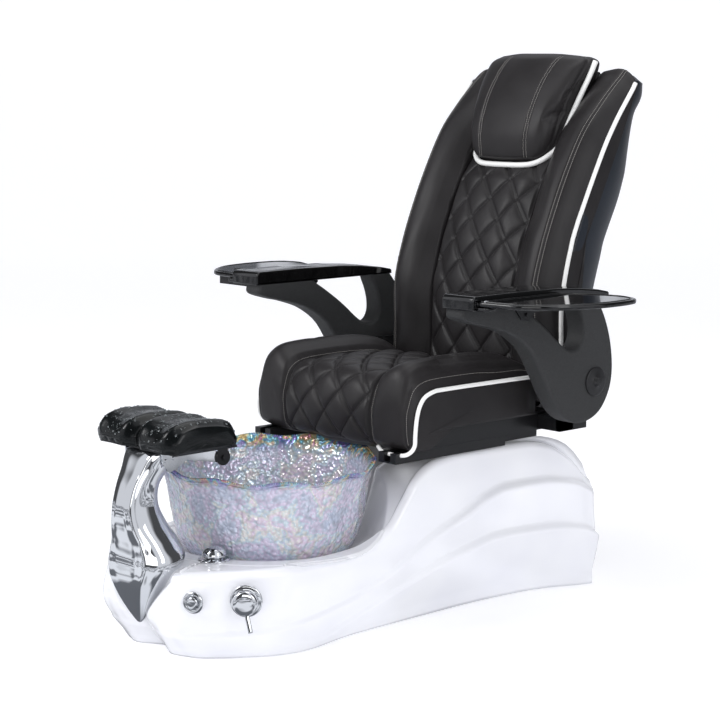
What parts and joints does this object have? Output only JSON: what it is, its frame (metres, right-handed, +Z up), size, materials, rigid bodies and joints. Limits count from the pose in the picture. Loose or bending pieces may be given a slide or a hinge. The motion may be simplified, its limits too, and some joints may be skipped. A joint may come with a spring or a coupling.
{
  "type": "pedicure spa chair",
  "caption": "Padded reclining massage chair on a moulded base with a glass foot basin, chrome foot rest column, taps, lifting arms and swinging trays.",
  "frame": {"origin": "on the floor, at the middle of the base's underside plate", "axes": "+Z up, the sitter faces -Y, the sitter's left hand is at +X"},
  "size_m": [1.3162, 1.5236, 1.354],
  "materials": {
    "white_gelcoat": "gloss",
    "steel_paint": "satin",
    "bowl_glass": "hammered, iridescent",
    "rubber_seal": "matt",
    "chrome": "polished",
    "steel": "brushed",
    "white_plastic": "matt",
    "black_plastic": "matt",
    "pipe_plastic": "matt",
    "black_leather": "semi-gloss, stitched",
    "grey_shell": "fine texture",
    "arm_plastic": "fine texture",
    "black_gloss": "gloss",
    "aluminium": "satin",
    "dark_clear": "gloss"
  },
  "bodies": {
    "base": {"base_shell": "white_gelcoat", "floor_pan": "steel_paint", "support_posts": "steel_paint", "glass_bowl": "bowl_glass", "bowl_gasket": "rubber_seal", "drain_fitting": "chrome", "drain_pipe": "white_plastic", "jet_motor": "black_plastic", "jet_base": "white_plastic", "jet_cover": "chrome", "chrome_column": "chrome", "footrest_yoke": "steel", "button_flange": "chrome", "mixer_flange": "chrome", "mixer_valve": "steel", "shower_holder": "chrome", "supply_pipes": "pipe_plastic", "power_box": "black_plastic", "rail_right": "steel_paint", "rail_left": "steel_paint", "slide_actuator": "steel", "access_panel": "white_gelcoat", "power_inlet": "black_plastic"},
    "stopper": {"drain_stopper": "chrome"},
    "impeller": {"jet_impeller": "white_plastic"},
    "footrest": {"footrest_carrier": "steel", "foot_pad_right": "black_leather", "foot_pad_left": "black_leather"},
    "button": {"push_button": "chrome"},
    "mixer_top": {"mixer_cap": "chrome"},
    "lever": {"mixer_lever": "chrome"},
    "shower": {"hand_shower": "chrome"},
    "seat": {"seat_pan": "steel_paint", "slide_rod": "steel", "seat_cushion": "black_leather", "seat_brackets": "steel_paint"},
    "backrest": {"back_wing_right": "black_leather", "back_wing_left": "black_leather", "back_pad": "black_leather", "head_pillow": "black_leather", "back_shell": "grey_shell", "back_frame": "steel_paint", "massage_track": "steel"},
    "carriage": {"massage_carriage": "black_plastic"},
    "rollers": {"massage_rollers": "rubber_seal"},
    "right_arm": {"arm_right": "arm_plastic", "board_right": "black_gloss", "strut_right": "black_plastic"},
    "left_arm": {"arm_left": "arm_plastic", "board_left": "black_gloss", "strut_left": "black_plastic"},
    "right_tray": {"tray_right": "black_gloss", "key_box": "black_plastic"},
    "left_tray": {"tray_left": "black_gloss"},
    "key_one": {"key_1": "white_plastic"},
    "key_two": {"key_2": "white_plastic"},
    "key_three": {"key_3": "white_plastic"},
    "key_four": {"key_4": "white_plastic"}
  },
  "joints": [
    {"name": "seat_slide", "type": "slide", "parent": "base", "child": "seat", "axis": [0, 1, 0], "range_m": [-0.15, 0.05]},
    {"name": "back_recline", "type": "hinge", "parent": "seat", "child": "backrest", "pos_m": [0, 0.5, 0.455], "axis": [-1, 0, 0], "range_deg": [0, 25]},
    {"name": "right_arm_lift", "type": "hinge", "parent": "seat", "child": "right_arm", "pos_m": [-0.366, 0.478, 0.553], "axis": [-1, 0, 0], "range_deg": [0, 80]},
    {"name": "left_arm_lift", "type": "hinge", "parent": "seat", "child": "left_arm", "pos_m": [0.366, 0.478, 0.553], "axis": [-1, 0, 0], "range_deg": [0, 80]},
    {"name": "right_tray_swing", "type": "hinge", "parent": "right_arm", "child": "right_tray", "pos_m": [-0.452, 0.03, 0.784], "axis": [0, 0, 1], "range_deg": [0, 90]},
    {"name": "left_tray_swing", "type": "hinge", "parent": "left_arm", "child": "left_tray", "pos_m": [0.452, 0.03, 0.784], "axis": [0, 0, -1], "range_deg": [0, 90]},
    {"name": "footrest_tilt", "type": "hinge", "parent": "base", "child": "footrest", "pos_m": [0, -0.44, 0.437], "axis": [-1, 0, 0], "range_deg": [0, 45]},
    {"name": "button_press", "type": "slide", "parent": "base", "child": "button", "axis": [-0.4331, 0.9014, 0], "range_m": [0, 0.004], "stiffness_N_per_m": 1500},
    {"name": "mixer_turn", "type": "hinge", "parent": "base", "child": "mixer_top", "pos_m": [0.2405, -0.51, 0.145], "axis": [0.6734, -0.7392, 0], "range_deg": [-45, 45]},
    {"name": "lever_lift", "type": "hinge", "parent": "mixer_top", "child": "lever", "pos_m": [0.25666, -0.52774, 0.139], "axis": [-0.7392, -0.6734, 0], "range_deg": [0, 25]},
    {"name": "shower_pull", "type": "slide", "parent": "base", "child": "shower", "axis": [0, 0, 1], "range_m": [0, 0.03]},
    {"name": "stopper_lift", "type": "slide", "parent": "base", "child": "stopper", "axis": [0, 0, 1], "range_m": [0, 0.008]},
    {"name": "impeller_spin", "type": "hinge", "parent": "base", "child": "impeller", "pos_m": [0, -0.15, 0.195], "axis": [0, 0, 1], "continuous": true},
    {"name": "carriage_travel", "type": "slide", "parent": "backrest", "child": "carriage", "axis": [0, 0.342, 0.9397], "range_m": [-0.1, 0.25]},
    {"name": "roller_spin", "type": "hinge", "parent": "carriage", "child": "rollers", "pos_m": [0, 0.58601, 0.8171], "axis": [1, 0, 0], "continuous": true},
    {"name": "key_1_press", "type": "slide", "parent": "right_tray", "child": "key_one", "axis": [0, 0, -1], "range_m": [0, 0.002], "stiffness_N_per_m": 400},
    {"name": "key_2_press", "type": "slide", "parent": "right_tray", "child": "key_two", "axis": [0, 0, -1], "range_m": [0, 0.002], "stiffness_N_per_m": 400},
    {"name": "key_3_press", "type": "slide", "parent": "right_tray", "child": "key_three", "axis": [0, 0, -1], "range_m": [0, 0.002], "stiffness_N_per_m": 400},
    {"name": "key_4_press", "type": "slide", "parent": "right_tray", "child": "key_four", "axis": [0, 0, -1], "range_m": [0, 0.002], "stiffness_N_per_m": 400}
  ]
}
